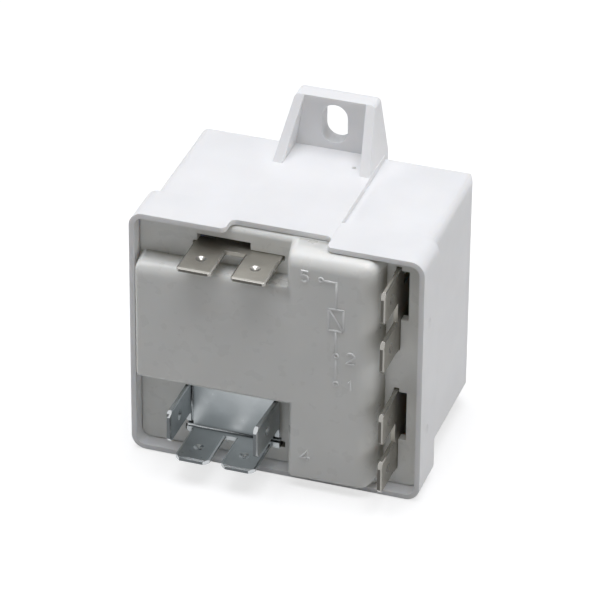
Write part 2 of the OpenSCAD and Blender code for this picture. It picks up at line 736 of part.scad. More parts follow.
// Lower side terminal, with a fork that holds the pivot pin
module terminal_lower() color([0.8, 0.77, 0.7]) difference() {
    fork_z = pin_z - ear_r;
    front = fork_front - sheet_t;
    back = fork_back + sheet_t;
    turn = bend_r + sheet_t;
    mid = (front + back) / 2;
    union() {
        translate([side_face, floor_y, lower_bottom]) rotate([0, -90, 0])
            double_tab(side_tab_gap, side_tab_reach, side_tab_cut, plate_t);
        block([side_x, plate_y - 0.1, lower_bottom + 3], [side_face, back - turn, lower_top - 1.5]);
        block([side_x, front + turn, lower_top - 2], [side_face, back - turn, pin_z + ear_r]);
        intersection() {
            along_z(fork_z, 2 * ear_r) {
                translate([side_face, front]) mirror([1, 0])
                    bend(sheet_t, side_face - pin_x + ear_r, mid - front);
                translate([side_face, back]) rotate(180)
                    bend(sheet_t, side_face - pin_x + ear_r, back - mid);
            }
            union() {
                rod_y(pin_x, front - over, pin_z, ear_r, back - front + 2 * over);
                block([pin_x, front - over, fork_z], [side_face, back + over, fork_z + 2 * ear_r]);
            }
        }
    }
    rod_y(pin_x, front - over, pin_z, pin_r + fit_gap, back - front + 2 * over);
}

// Folded terminal: a web on the floor, tabs at both sides and two tabs along the bottom
module terminal_tie() color([0.78, 0.8, 0.82]) {
    side_len = tie_side_reach - sheet_t - bend_r;
    low_len = tie_low_reach - sheet_t - bend_r;
    turn = bend_r + sheet_t;
    low_x = -tie_left + (tie_w - tie_low_w) / 2 - 0.12;
    root = 0.9;
    leg = 0.5;
    side_z = tie_top - tab_w;
    // Web
    block([-tie_left + turn, tie_front, side_z], [tie_right - turn, floor_y, tie_top]);
    block([low_x, tie_front, tie_bottom + turn], [low_x + tie_low_w, floor_y, side_z + 0.5]);
    // Left tab with its bend
    along_z(side_z, tab_w) translate([-tie_left, floor_y]) mirror([0, 1])
        bend(sheet_t, turn + 0.5, turn + leg);
    translate([-tie_left + sheet_t, floor_y - turn - leg, side_z]) rotate([0, -90, 0])
        tab(side_len - leg, tie_cut, detent_back + 0.6);
    // Right tab with its bend, leaning inwards from the end of the bend's leg
    along_z(side_z, tab_w) translate([tie_right, floor_y]) rotate(180)
        bend(sheet_t, turn + 0.5, turn + leg);
    translate([tie_right, floor_y - turn - leg + 0.1, side_z]) rotate(-tie_lean) rotate([0, -90, 0])
        tab(side_len - leg + 0.1, tie_cut, detent_back + 0.6);
    // Lower tabs on a common root with its bend
    along_x(low_x, tie_low_w) translate([floor_y, tie_bottom]) mirror([1, 0])
        bend(sheet_t, turn + root, turn + 0.1);
    for (x = [low_x, low_x + tab_w + tie_gap]) translate([x, floor_y - turn - root, tie_bottom])
        tab(low_len - root, tie_cut, detent_back);
    // Lower corners: the side bends run on downwards, and the lower bend runs on to both sides
    along_z(side_z - corner_run, corner_run) translate([-tie_left, floor_y]) mirror([0, 1])
        bend(sheet_t, turn + 0.5, turn + 0.15);
    along_z(side_z - corner_run, corner_run) translate([tie_right, floor_y]) rotate(180)
        bend(sheet_t, turn + 0.5, turn + 0.15);
    for (x = [[-tie_left, low_x], [low_x + tie_low_w, tie_right]])
        along_x(x[0], x[1] - x[0]) translate([floor_y, tie_bottom]) mirror([1, 0])
            bend(sheet_t, turn + 0.15, turn + 0.1);
    // Lugs of the lower bend, which reach into the insert's slots
    for (x = lug_x)
        block([x, floor_y - sheet_t, lug_top - lug_h], [x + lug_w, floor_y + plate_t / 2, lug_top]);
    // Tongue through the plate, clenched behind it
    block([tongue_x - tongue_w / 2, floor_y - 0.1, tongue_z],
        [tongue_x + tongue_w / 2, plate_y + 0.85, tongue_z + sheet_t]);
    block([tongue_x - tongue_w / 2, plate_y + fit_gap, tongue_z - 1.6],
        [tongue_x + tongue_w / 2, plate_y + 0.85, tongue_z + sheet_t]);
}

// L-shaped magnet frame: a leg under the coil and an upright with the knife edge for the armature
module magnet_frame() color([0.62, 0.63, 0.66]) difference() {
    y0 = coil_y - yoke_w / 2;
    bevel = yoke_t * tan(8);
    top = pivot_z - 0.02;
    inner = 0.25;
    outer = inner + yoke_t;
    union() {
        along_y(y0, yoke_w) {
            patch([upright_x + outer, leg_z], [flange_x + 0.1, leg_top]);
            patch([upright_x, leg_z + outer], [pivot_x, top - bevel]);
            polygon([[upright_x, top - bevel - 0.1], [pivot_x, top - bevel - 0.1],
                [pivot_x, top], [upright_x, top - bevel]]);
            difference() {
                intersection() {
                    translate([upright_x + outer, leg_z + outer]) circle(outer);
                    patch([upright_x, leg_z], [upright_x + outer, leg_z + outer]);
                }
                translate([upright_x + outer, leg_z + outer]) circle(inner);
            }
        }
        // Prongs beside the armature
        for (y = [y0, y0 + yoke_w - prong_w])
            block([upright_x, y, top - 2], [pivot_x, y + prong_w, prong_top]);
        // Lug for the return spring
        block([arm_tail, coil_y - 2.2, lug_z - yoke_t], [upright_x + 0.1, coil_y + 2.2, lug_z]);
    }
    // Window that the lug is bent from
    block([upright_x - 0.01, coil_y - 2.2, lug_z], [pivot_x + over, coil_y + 2.2, lug_z + 3.8]);
    translate([spring_x, coil_y + upper_spring_r, lug_z - yoke_t - over])
        cylinder(r = upper_wire_r + 0.2, h = yoke_t + 2 * over);
    // Core rivet and screws
    translate([coil_x, coil_y, leg_z - over]) cylinder(r = core_r - 1, h = yoke_t + 2 * over);
    for (x = screw_x)
        translate([x, coil_y, leg_z - over]) cylinder(r = screw_r + 0.03, h = yoke_t + 2 * over);
}

module frame_screws() color([0.7, 0.71, 0.73]) for (x = screw_x)
    translate([x, coil_y, rib_z + 0.1]) difference() {
        union() {
            cylinder(r = head_r, h = head_h);
            cylinder(r = screw_r, h = leg_top - rib_z - 0.2);
        }
        translate([-head_r - over, -0.3, -over]) cube([2 * head_r + 2 * over, 0.6, over + 0.6]);
    }

// Outline of the shading ring, which loops round a part of the pole face
module shading_outline(grow) {
    edge = 1.2;
    w = 0.9;
    difference() {
        intersection() {
            circle(pole_r + grow);
            patch([edge - grow, -pole_r - over], [pole_r + over, pole_r + over]);
        }
        intersection() {
            circle(pole_r - w - grow);
            patch([edge + w + grow, -pole_r - over], [pole_r + over, pole_r + over]);
        }
    }
}

module core() color([0.66, 0.67, 0.7]) translate([coil_x, coil_y, 0]) difference() {
    union() {
        translate([0, 0, leg_z + 0.1]) cylinder(r = core_r - 1 - 0.02, h = yoke_t);
        translate([0, 0, leg_top]) cylinder(r = core_r, h = bobbin_top + fit_gap - leg_top + 0.1);
        translate([0, 0, bobbin_top + fit_gap]) cylinder(r = pole_r, h = pole_h);
    }
    translate([0, 0, pole_top - 1]) linear_extrude(1 + over) shading_outline(fit_gap);
}

module shading_ring() color([0.72, 0.42, 0.25])
    translate([coil_x, coil_y, pole_top - 1 + 0.02]) linear_extrude(0.93) shading_outline(0);

module bobbin() color([0.82, 0.78, 0.68]) difference() {
    corner = [flange_w / 2, flange_d / 2];
    union() {
        for (z = [leg_top, bobbin_top - flange_t])
            along_z(z, flange_t) translate([coil_x, coil_y]) round_patch(-corner, corner, 2.5);
        translate([coil_x, coil_y, leg_top]) cylinder(r = core_r + 0.1 + bobbin_wall, h = bobbin_h);
    }
    translate([coil_x, coil_y, leg_top - over]) cylinder(r = core_r + fit_gap, h = bobbin_h + 2 * over);
}

module winding() color([0.55, 0.27, 0.14]) translate([coil_x, coil_y, winding_z + 0.03]) difference() {
    cylinder(r = winding_r, h = winding_h - 0.06);
    translate([0, 0, -over]) cylinder(r = core_r + 0.1 + bobbin_wall + 0.03, h = winding_h + 2 * over);
}

module winding_tape() color([0.85, 0.72, 0.35])
    translate([coil_x, coil_y, winding_z + 0.4]) difference() {
        cylinder(r = winding_r + 0.03 + tape_t, h = winding_h - 0.8);
        translate([0, 0, -over]) cylinder(r = winding_r + 0.03, h = winding_h + 2 * over);
    }

// Leads run from the winding's front, where they end just short of the tape
function lead_start(x) = coil_y - sqrt(pow(winding_r + tape_t + 0.08, 2) - pow(x - coil_x, 2));
module coil_lead_left() color([0.75, 0.2, 0.15]) {
    x = coil_x - lead_side;
    z = bobbin_top - flange_t - lead_down;
    wire([[x, lead_start(x), z], [x, lead_y, z], [x, lead_y, coil_term_top - 2.4],
        [x, lead_y + 0.9, coil_term_top - 1.5], [x, lead_y + 0.9, coil_term_top + 0.3]], lead_r);
}
module coil_lead_right() color([0.2, 0.2, 0.22]) {
    x = coil_x + lead_side;
    z = bobbin_top - flange_t - lead_down;
    end = side_x - lead_r - 0.03;
    wire([[x, lead_start(x), z], [x, lead_y, z], [end, lead_y, z], [end, lead_y, finger_z + 5]], lead_r);
}

// Pieces on the armature are drawn about its pivot as if it were closed, and stand open at rest
module on_armature() translate([pivot_x, coil_y, pivot_z]) rotate([0, -arm_swing, 0]) children();

module armature() color([0.64, 0.65, 0.68]) on_armature() difference() {
    x0 = arm_tail - pivot_x;
    x1 = arm_end - pivot_x;
    w = yoke_w / 2;
    clear = 0.35;
    block([x0, -w, 0], [x1, w, arm_t]);
    // Notches round the frame's prongs, and the slimmer tail
    for (s = [-1, 1]) {
        translate([-yoke_t - clear, s * w - prong_w - clear, -over])
            cube([yoke_t + 2 * clear, 2 * prong_w + 2 * clear, arm_t + 2 * over]);
        translate([x0 - over, s * w - 5, -over])
            cube([-yoke_t - clear - x0 + over - 0.9, 10, arm_t + 2 * over]);
    }
    translate([spring_x - pivot_x, upper_spring_r, -over])
        cylinder(r = upper_wire_r + 0.25, h = arm_t + 2 * over);
    for (y = [-rivet_side, rivet_side])
        translate([x1 - rivet_back, y, -over]) cylinder(r = 0.6 + fit_gap, h = arm_t + 2 * over);
}

module stop_shim() color([0.8, 0.68, 0.35]) on_armature()
    translate([coil_x - pivot_x, 0, 0])
        block([-shim_l / 2, -shim_w / 2, -0.1], [shim_l / 2, shim_w / 2, -0.01]);

module pusher() color([0.3, 0.22, 0.18]) on_armature() difference() {
    x0 = pusher_x - pivot_x;
    union() {
        block([x0, -pusher_w / 2, foot_z], [x0 + pusher_t, pusher_w / 2, arm_t + 0.02 + pusher_t]);
        rod_y(foot_x, -pusher_w / 2, foot_z, foot_r, pusher_w);
        block([x0 - pusher_len, -pusher_w / 2, arm_t + 0.02],
            [x0 + 0.1, pusher_w / 2, arm_t + 0.02 + pusher_t]);
    }
    for (y = [-rivet_side, rivet_side]) translate([arm_end - pivot_x - rivet_back, y, 0])
        cylinder(r = 0.6 + fit_gap, h = arm_t + pusher_t + over);
}

module pusher_rivets() color([0.8, 0.68, 0.35]) on_armature() for (y = [-rivet_side, rivet_side])
    translate([arm_end - pivot_x - rivet_back, y, 0]) {
        translate([0, 0, -0.42]) cylinder(r = 1, h = 0.4);
        translate([0, 0, -0.3]) cylinder(r = 0.6, h = arm_t + pusher_t + 0.6);
        translate([0, 0, arm_t + pusher_t + 0.04]) cylinder(r = 1.1, h = 0.5);
    }

module return_spring() color([0.75, 0.76, 0.78])
    translate([spring_x, coil_y, lug_z + 0.4])
        helix_wire(upper_spring_r, upper_wire_r, tail_z - lug_z - 0.9, 14, 2.1);

module contact_arm() color([0.82, 0.62, 0.35]) difference() {
    y0 = coil_y - leaf_w / 2;
    union() {
        block([leaf_tip, y0, leaf_z], [pin_x, y0 + leaf_w, leaf_top]);
        rod_y(pin_x, y0, pin_z, eye_r, leaf_w);
    }
    rod_y(pin_x, y0 - over, pin_z, pin_r + fit_gap, leaf_w + 2 * over);
    translate([contact_x, coil_y, leaf_z - over]) cylinder(r = shank_r + fit_gap, h = leaf_t + 2 * over);
}

module moving_contact() color([0.86, 0.86, 0.88]) translate([contact_x, coil_y, 0]) {
    translate([0, 0, leaf_top]) cylinder(r = contact_r, h = contact_t);
    translate([0, 0, leaf_z - 0.2]) cylinder(r = shank_r, h = leaf_t + 0.3);
    translate([0, 0, leaf_z - 0.4]) cylinder(r = rivet_r, h = 0.4);
}

module fixed_contact() color([0.86, 0.86, 0.88]) translate([contact_x, coil_y, 0]) {
    translate([0, 0, contact_z]) cylinder(r = contact_r, h = contact_t);
    translate([0, 0, finger_z - 0.1]) cylinder(r = shank_r, h = sheet_t + 0.3);
    translate([0, 0, finger_z + sheet_t]) cylinder(r = rivet_r, h = 0.4);
}

module pivot_pin() color([0.7, 0.71, 0.73]) {
    y0 = fork_front - sheet_t - fit_gap;
    y1 = fork_back + sheet_t + fit_gap;
    rod_y(pin_x, y0 - 0.4, pin_z, pin_r, y1 - y0 + 0.8);
    rod_y(pin_x, y0 - 0.5, pin_z, pin_r + 0.5, 0.5);
    rod_y(pin_x, y1, pin_z, pin_r + 0.5, 0.5);
}

module contact_spring() color([0.75, 0.76, 0.78])
    translate([lower_spring_x, coil_y, shelf_z + lower_wire_r + 0.04])
        helix_wire(lower_spring_r, lower_wire_r, leaf_z - shelf_z - 2 * lower_wire_r - 0.08, 7, 0);

housing();
front_insert();
terminal_coil();
terminal_upper();
terminal_lower();
terminal_tie();
magnet_frame();
frame_screws();
core();
shading_ring();
bobbin();
winding();
winding_tape();
coil_lead_left();
coil_lead_right();
armature();
stop_shim();
pusher();
pusher_rivets();
return_spring();
contact_arm();
moving_contact();
fixed_contact();
pivot_pin();
contact_spring();
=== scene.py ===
"""The relay's looks: materials, raised marks, floor, soft light and the photograph's camera."""

import math

import bmesh
import bpy
from mathutils import Matrix, Vector


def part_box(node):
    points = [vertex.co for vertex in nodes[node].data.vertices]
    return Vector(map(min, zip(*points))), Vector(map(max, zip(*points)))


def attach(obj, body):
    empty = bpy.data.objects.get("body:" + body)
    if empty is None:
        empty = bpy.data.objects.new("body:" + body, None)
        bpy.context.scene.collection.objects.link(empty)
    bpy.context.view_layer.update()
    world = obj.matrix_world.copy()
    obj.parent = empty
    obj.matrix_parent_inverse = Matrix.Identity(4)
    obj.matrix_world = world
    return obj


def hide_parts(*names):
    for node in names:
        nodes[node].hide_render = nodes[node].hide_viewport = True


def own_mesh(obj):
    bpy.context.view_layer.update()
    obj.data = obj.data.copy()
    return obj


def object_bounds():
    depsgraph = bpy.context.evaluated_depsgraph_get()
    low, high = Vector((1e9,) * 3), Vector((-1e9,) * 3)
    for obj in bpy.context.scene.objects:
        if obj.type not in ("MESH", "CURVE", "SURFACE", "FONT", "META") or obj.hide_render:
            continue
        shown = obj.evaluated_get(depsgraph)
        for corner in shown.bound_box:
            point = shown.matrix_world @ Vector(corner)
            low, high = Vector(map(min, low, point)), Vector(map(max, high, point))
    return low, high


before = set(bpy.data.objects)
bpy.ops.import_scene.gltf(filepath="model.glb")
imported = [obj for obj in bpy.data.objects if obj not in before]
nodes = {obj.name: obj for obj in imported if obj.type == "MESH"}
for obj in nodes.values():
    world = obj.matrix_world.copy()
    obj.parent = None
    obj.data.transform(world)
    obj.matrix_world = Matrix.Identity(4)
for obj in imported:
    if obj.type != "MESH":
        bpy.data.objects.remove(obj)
box_cad = [list(v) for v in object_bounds()]
MM = 0.001
scene = bpy.context.scene
scene.view_settings.view_transform = "Standard"


# Materials
def new_material(name, color, rough, metallic=0.0):
    m = bpy.data.materials.new(name)
    m.use_nodes = True
    n = m.node_tree.nodes
    bsdf = n["Principled BSDF"]
    bsdf.inputs["Base Color"].default_value = (*color, 1)
    bsdf.inputs["Roughness"].default_value = rough
    bsdf.inputs["Metallic"].default_value = metallic
    return m, n, m.node_tree.links, bsdf


def noise(n, links, scale, detail):
    tex = n.new("ShaderNodeTexNoise")
    tex.inputs["Scale"].default_value = scale
    tex.inputs["Detail"].default_value = detail
    coord = n.new("ShaderNodeTexCoord")
    links.new(coord.outputs["Object"], tex.inputs["Vector"])
    return tex


def ramp(n, links, source, stops):
    r = n.new("ShaderNodeValToRGB")
    while len(r.color_ramp.elements) < len(stops):
        r.color_ramp.elements.new(0.5)
    for e, (pos, col) in zip(r.color_ramp.elements, stops):
        e.position = pos
        e.color = (*col, 1)
    links.new(source, r.inputs["Fac"])
    return r


def bump(n, links, height, bsdf, strength, distance):
    b = n.new("ShaderNodeBump")
    b.inputs["Strength"].default_value = strength
    b.inputs["Distance"].default_value = distance
    links.new(height, b.inputs["Height"])
    links.new(b.outputs["Normal"], bsdf.inputs["Normal"])


def times(n, links, a, b):
    m = n.new("ShaderNodeMath")
    m.operation = "MULTIPLY"
    links.new(a, m.inputs[0])
    links.new(b, m.inputs[1])
    return m.outputs[0]


def threshold(n, links, source, edge0, edge1):
    """0 at edge0 and 1 at edge1, with a straight run between."""
    m = n.new("ShaderNodeMapRange")
    m.inputs["From Min"].default_value = edge0
    m.inputs["From Max"].default_value = edge1
    links.new(source, m.inputs["Value"])
    return m.outputs["Result"]


def crevice(n, links, color, reach, shade, closed, clear):
    """The colour, darkened by the tint shade where other faces stand within reach of it: painted shade in
    corners, creases and recesses.

    The full tint is there up to the openness closed, and none of it from clear on.
    """
    near = n.new("ShaderNodeAmbientOcclusion")
    near.samples = 12
    near.inputs["Distance"].default_value = reach
    openness = threshold(n, links, near.outputs["AO"], closed, clear)
    tint = ramp(n, links, openness, [(0.0, shade), (1.0, (1, 1, 1))])
    m = n.new("ShaderNodeMix")
    m.data_type = "RGBA"
    m.blend_type = "MULTIPLY"
    m.inputs["Factor"].default_value = 1
    links.new(color, m.inputs["A"])
    links.new(tint.outputs["Color"], m.inputs["B"])
    return m.outputs["Result"]


def plastic(name, low, high, rough, grain=0.25, depth=0.0, shade=None):
    """Moulded plastic: faint mottling of the colour, a fine grain and slightly uneven gloss, with painted
    shade in its recesses when a shade tint is given.
    """
    m, n, links, bsdf = new_material(name, high, rough)
    mottle = noise(n, links, 90, 4)
    base = ramp(n, links, mottle.outputs["Fac"], [(0.3, low), (0.7, high)]).outputs["Color"]
    # Painted shade: the tint darkens the colour in corners and recesses.
    if shade:
        base = crevice(n, links, base, 2.5 * MM, shade, closed=0.05, clear=0.5)
    links.new(base, bsdf.inputs["Base Color"])
    gloss = noise(n, links, 400, 2)
    spread = 0.07
    levels = [(0.2, (rough - spread,) * 3), (0.8, (rough + spread,) * 3)]
    links.new(ramp(n, links, gloss.outputs["Fac"], levels).outputs["Color"], bsdf.inputs["Roughness"])
    fine = noise(n, links, 5200, 2)
    grain_height = 0.03 * MM
    bump(n, links, fine.outputs["Fac"], bsdf, grain, grain_height)
    bsdf.inputs["Specular IOR Level"].default_value = 0.4
    if depth:
        bsdf.subsurface_method = "RANDOM_WALK"
        bsdf.inputs["Subsurface Weight"].default_value = 0.5
        bsdf.inputs["Subsurface Radius"].default_value = (1.0, 0.9, 0.8)
        bsdf.inputs["Subsurface Scale"].default_value = depth
    return m


def forward_tip_faces(n, links):
    """1 on the tabs' tip faces that face forward beyond y_limit, the faces that get painted shade."""
    y_limit = -40.4 * MM
    coord = n.new("ShaderNodeTexCoord")
    place = n.new("ShaderNodeSeparateXYZ")
    links.new(coord.outputs["Object"], place.inputs[0])
    facing = n.new("ShaderNodeSeparateXYZ")
    links.new(coord.outputs["Normal"], facing.inputs[0])
    front = threshold(n, links, facing.outputs["Y"], -0.8, -0.93)
    return times(n, links, front, threshold(n, links, place.outputs["Y"], y_limit, y_limit - 0.2 * MM))


def mixed(n, links, factor, a, b):
    """The colour a, a socket, turned into the plain colour b by the factor."""
    m = n.new("ShaderNodeMix")
    m.data_type = "RGBA"
    links.new(factor, m.inputs["Factor"])
    links.new(a, m.inputs["A"])
    m.inputs["B"].default_value = (*b, 1)
    return m.outputs["Result"]


def coined(n, links):
    """1 on the slopes that a press leaves: rounded edges, coined edges and the walls of the dimples; the
    mask of a painted highlight.
    """
    coord = n.new("ShaderNodeTexCoord")
    size = n.new("ShaderNodeVectorMath")
    size.operation = "ABSOLUTE"
    links.new(coord.outputs["Normal"], size.inputs[0])
    part = n.new("ShaderNodeSeparateXYZ")
    links.new(size.outputs["Vector"], part.inputs[0])
    most = part.outputs["X"]
    for axis in ("Y", "Z"):
        m = n.new("ShaderNodeMath")
        m.operation = "MAXIMUM"
        links.new(most, m.inputs[0])
        links.new(part.outputs[axis], m.inputs[1])
        most = m.outputs[0]
    return threshold(n, links, most, 0.985, 0.95)


def metal(name, low, high, rough, streak=(1, 1, 1), tip_shade=None, corner_shade=None, corner_shade_reach=0.7,
          corner_shade_range=(0.2, 0.62), slope_highlight=None, metallic=1.0):
    """Plated or bare metal with clouding and rolling streaks.

    The optional colours are painted light: one darkens the tips' forward faces (painted shade), one darkens
    corners and creases (painted shade), and one lightens pressed slopes (painted highlight), which also get
    a lower roughness.
    """
    m, n, links, bsdf = new_material(name, high, rough, metallic)
    coord = n.new("ShaderNodeTexCoord")
    mapping = n.new("ShaderNodeMapping")
    mapping.inputs["Scale"].default_value = streak
    links.new(coord.outputs["Object"], mapping.inputs["Vector"])
    lines = n.new("ShaderNodeTexNoise")
    lines.inputs["Scale"].default_value = 700
    lines.inputs["Detail"].default_value = 3
    links.new(mapping.outputs["Vector"], lines.inputs["Vector"])
    cloud = noise(n, links, 160, 4)
    base = ramp(n, links, cloud.outputs["Fac"], [(0.3, low), (0.7, high)]).outputs["Color"]
    levels = [(0.25, (rough - 0.08,) * 3), (0.75, (rough + 0.1,) * 3)]
    gloss = ramp(n, links, lines.outputs["Fac"], levels).outputs["Color"]
    # Painted shade: the tips' forward faces are darkened, which stands in for the dark reflection they
    # show.
    if tip_shade:
        base = mixed(n, links, forward_tip_faces(n, links), base, tip_shade)
    # Painted highlight: the pressed slopes get a lighter colour, and also a lower roughness.
    if slope_highlight:
        slopes = coined(n, links)
        polished = (0.2,) * 3
        base = mixed(n, links, slopes, base, slope_highlight)
        gloss = mixed(n, links, slopes, gloss, polished)
    # Painted shade: the colour darkens in corners and creases where other faces stand near.
    if corner_shade:
        base = crevice(n, links, base, corner_shade_reach * MM, corner_shade, *corner_shade_range)
    links.new(base, bsdf.inputs["Base Color"])
    links.new(gloss, bsdf.inputs["Roughness"])
    streak_height = 0.02 * MM
    bump(n, links, lines.outputs["Fac"], bsdf, 0.15, streak_height)
    return m


WHITE = plastic("case_white", (0.82, 0.82, 0.825), (0.86, 0.86, 0.865), 0.40, depth=0.0010)
# The insert's shade tint is painted shade in its recesses and corners.
GREY = plastic("insert_white", (0.805, 0.805, 0.777), (0.83, 0.83, 0.802), 0.30, depth=0.0008,
               shade=(0.66, 0.63, 0.56))
# The marks are a little lighter than the insert they stand on: a painted highlight on their raised strokes.
MARK = plastic("mark_white", (0.86, 0.86, 0.85), (0.90, 0.90, 0.89), 0.4, 0.1)
# On the terminals, the tip colour and the crevice tint are painted shade, and the slope colour is a painted
# highlight.
NICKEL = metal("nickel", (0.30, 0.287, 0.255), (0.385, 0.37, 0.33), 0.40, (1, 5, 1),
               tip_shade=(0.10, 0.095, 0.085), corner_shade=(0.95, 0.86, 0.69), slope_highlight=(0.38, 0.37, 0.345),
               metallic=0.78)
ZINC = metal("zinc", (0.37, 0.395, 0.405), (0.465, 0.49, 0.50), 0.34, (1, 4, 1), tip_shade=(0.12, 0.13, 0.135),
             corner_shade=(0.16, 0.17, 0.18), corner_shade_reach=1.2, corner_shade_range=(0.36, 0.85), slope_highlight=(0.55, 0.57, 0.58))
STEEL = metal("magnet_steel", (0.42, 0.42, 0.43), (0.56, 0.56, 0.57), 0.38, (1, 4, 1))
SPRING = metal("spring_steel", (0.50, 0.50, 0.50), (0.64, 0.64, 0.65), 0.22)
BRASS = metal("brass", (0.62, 0.44, 0.17), (0.76, 0.57, 0.26), 0.28, (4, 1, 1))
SILVER = metal("silver", (0.78, 0.77, 0.74), (0.90, 0.89, 0.87), 0.3)
COPPER = metal("copper_ring", (0.62, 0.27, 0.14), (0.78, 0.38, 0.22), 0.3)
BOBBIN = plastic("bobbin_natural", (0.60, 0.55, 0.44), (0.66, 0.61, 0.50), 0.45)
PHENOLIC = plastic("phenolic_brown", (0.07, 0.035, 0.02), (0.12, 0.06, 0.035), 0.5, 0.4)
RED = plastic("sleeve_red", (0.45, 0.03, 0.02), (0.55, 0.05, 0.03), 0.35)
BLACK = plastic("sleeve_black", (0.012, 0.012, 0.012), (0.022, 0.022, 0.022), 0.35)


def bands(n, links, scale, distortion):
    """Level bands that follow each other upwards."""
    wave = n.new("ShaderNodeTexWave")
    wave.bands_direction = "Z"
    wave.inputs["Scale"].default_value = scale
    wave.inputs["Distortion"].default_value = distortion
    coord = n.new("ShaderNodeTexCoord")
    links.new(coord.outputs["Object"], wave.inputs["Vector"])
    return wave


def wound(name):
    """Enamelled wire seen as close turns round the coil."""
    m, n, links, bsdf = new_material(name, (0.5, 0.2, 0.08), 0.3, 0.8)
    wave = bands(n, links, 1400, 1.0)
    wave.inputs["Detail"].default_value = 1
    col = ramp(n, links, wave.outputs["Fac"], [(0.2, (0.28, 0.09, 0.03)), (0.8, (0.62, 0.26, 0.10))])
    links.new(col.outputs["Color"], bsdf.inputs["Base Color"])
    bump(n, links, wave.outputs["Fac"], bsdf, 0.6, 0.05 * MM)
    return m


def tape(name):
    """Polyester tape with faint lap lines."""
    m, n, links, bsdf = new_material(name, (0.75, 0.5, 0.08), 0.28)
    wave = bands(n, links, 60, 0.6)
    col = ramp(n, links, wave.outputs["Fac"], [(0.1, (0.62, 0.38, 0.05)), (0.5, (0.78, 0.52, 0.09))])
    links.new(col.outputs["Color"], bsdf.inputs["Base Color"])
    bump(n, links, wave.outputs["Fac"], bsdf, 0.3, 0.05 * MM)
    bsdf.inputs["Coat Weight"].default_value = 0.5
    return m


WIRE = wound("enamelled_wire")
TAPE = tape("tape_yellow")

LOOKS = {
    "housing": WHITE, "front_insert": GREY,
    "terminal_coil": NICKEL, "terminal_upper": NICKEL, "terminal_lower": NICKEL, "terminal_tie": ZINC,
    "magnet_frame": STEEL, "frame_screws": SPRING, "core": STEEL, "shading_ring": COPPER,
    "bobbin": BOBBIN, "winding": WIRE, "winding_tape": TAPE,
    "coil_lead_left": RED, "coil_lead_right": BLACK,
    "armature": STEEL, "stop_shim": BRASS, "pusher": PHENOLIC, "pusher_rivets": BRASS,
    "return_spring": SPRING, "contact_arm": BRASS, "moving_contact": SILVER, "fixed_contact": SILVER,
    "pivot_pin": SPRING, "contact_spring": SPRING,
}
for name, material in LOOKS.items():
    mesh = nodes[name].data
    mesh.materials.clear()
    mesh.materials.append(material)


# Rounded edges
def soften(node, width, segments):
    """Breaks a CAD node's sharp edges with modifiers; the mesh itself stays as it is."""
    o = nodes[node]
    weld = o.modifiers.new("weld", "WELD")
    weld.merge_threshold = 0.004 * MM
    bevel = o.modifiers.new("edge", "BEVEL")
    bevel.width = width
    bevel.segments = segments
    bevel.limit_method = "ANGLE"
    bevel.angle_limit = math.radians(32)
    bevel.harden_normals = True
    bevel.use_clamp_overlap = True


soften("housing", 0.42 * MM, 4)
soften("front_insert", 0.22 * MM, 2)
for name in ("terminal_coil", "terminal_upper", "terminal_lower", "terminal_tie"):
    soften(name, 0.05 * MM, 1)


# Shapes that the scene adds: the pressed spring, the plateau's front and its raised marks
RIM_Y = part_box("housing")[0].y
FACE_Y = RIM_Y - 2.6 * MM
SUNK = 0.02 * MM     # how deep the marks' feet lie in the plateau's face
RISE = 0.24 * MM


def finish_piece(name, bm, material, smooth=False):
    """A piece of the relay's fixed part, from its mesh data."""
    mesh = bpy.data.meshes.new(name)
    bm.to_mesh(mesh)
    bm.free()
    o = bpy.data.objects.new(name, mesh)
    scene.collection.objects.link(o)
    mesh.materials.append(material)
    if smooth:
        for p in mesh.polygons:
            p.use_smooth = True
    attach(o, "relay")
    return o


def pressed_spring():
    """The contact's spring in round wire, built at the size of its CAD piece and fixed with the relay's
    fixed part; on the relay it shortens when the arm presses on it.
    """
    low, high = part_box("contact_spring")
    wire, sides, steps, turns, swing = 0.2 * MM, 10, 28, 7, math.radians(11)
    mid = (low + high) / 2
    coil_r = (high.x - low.x) / 2 - wire
    foot, rise = low.z + wire, high.z - low.z - 2 * wire
    slope = rise / turns / (2 * math.pi * coil_r)
    bm = bmesh.new()
    rings = []
    for i in range(turns * steps + 1):
        a = math.pi / 2 + 2 * math.pi * i / steps
        out = Vector((math.cos(a), math.sin(a), 0))
        side = Vector((-math.sin(a), math.cos(a), slope)).normalized().cross(out)
        at = Vector((mid.x, mid.y, foot + rise * i / (turns * steps))) + out * coil_r
        ring = []
        for k in range(sides):
            t = 2 * math.pi * k / sides
            ring.append(bm.verts.new(at + (out * math.cos(t) + side * math.sin(t)) * wire))
        rings.append(ring)
    for a, b in zip(rings, rings[1:]):
        for k in range(sides):
            bm.faces.new((a[k], a[(k + 1) % sides], b[(k + 1) % sides], b[k]))
    bm.faces.new(rings[0])
    bm.faces.new(list(reversed(rings[-1])))
    bmesh.ops.recalc_face_normals(bm, faces=bm.faces[:])
    o = finish_piece("contact_spring_wire", bm, SPRING, True)
    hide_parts("contact_spring")
    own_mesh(o)


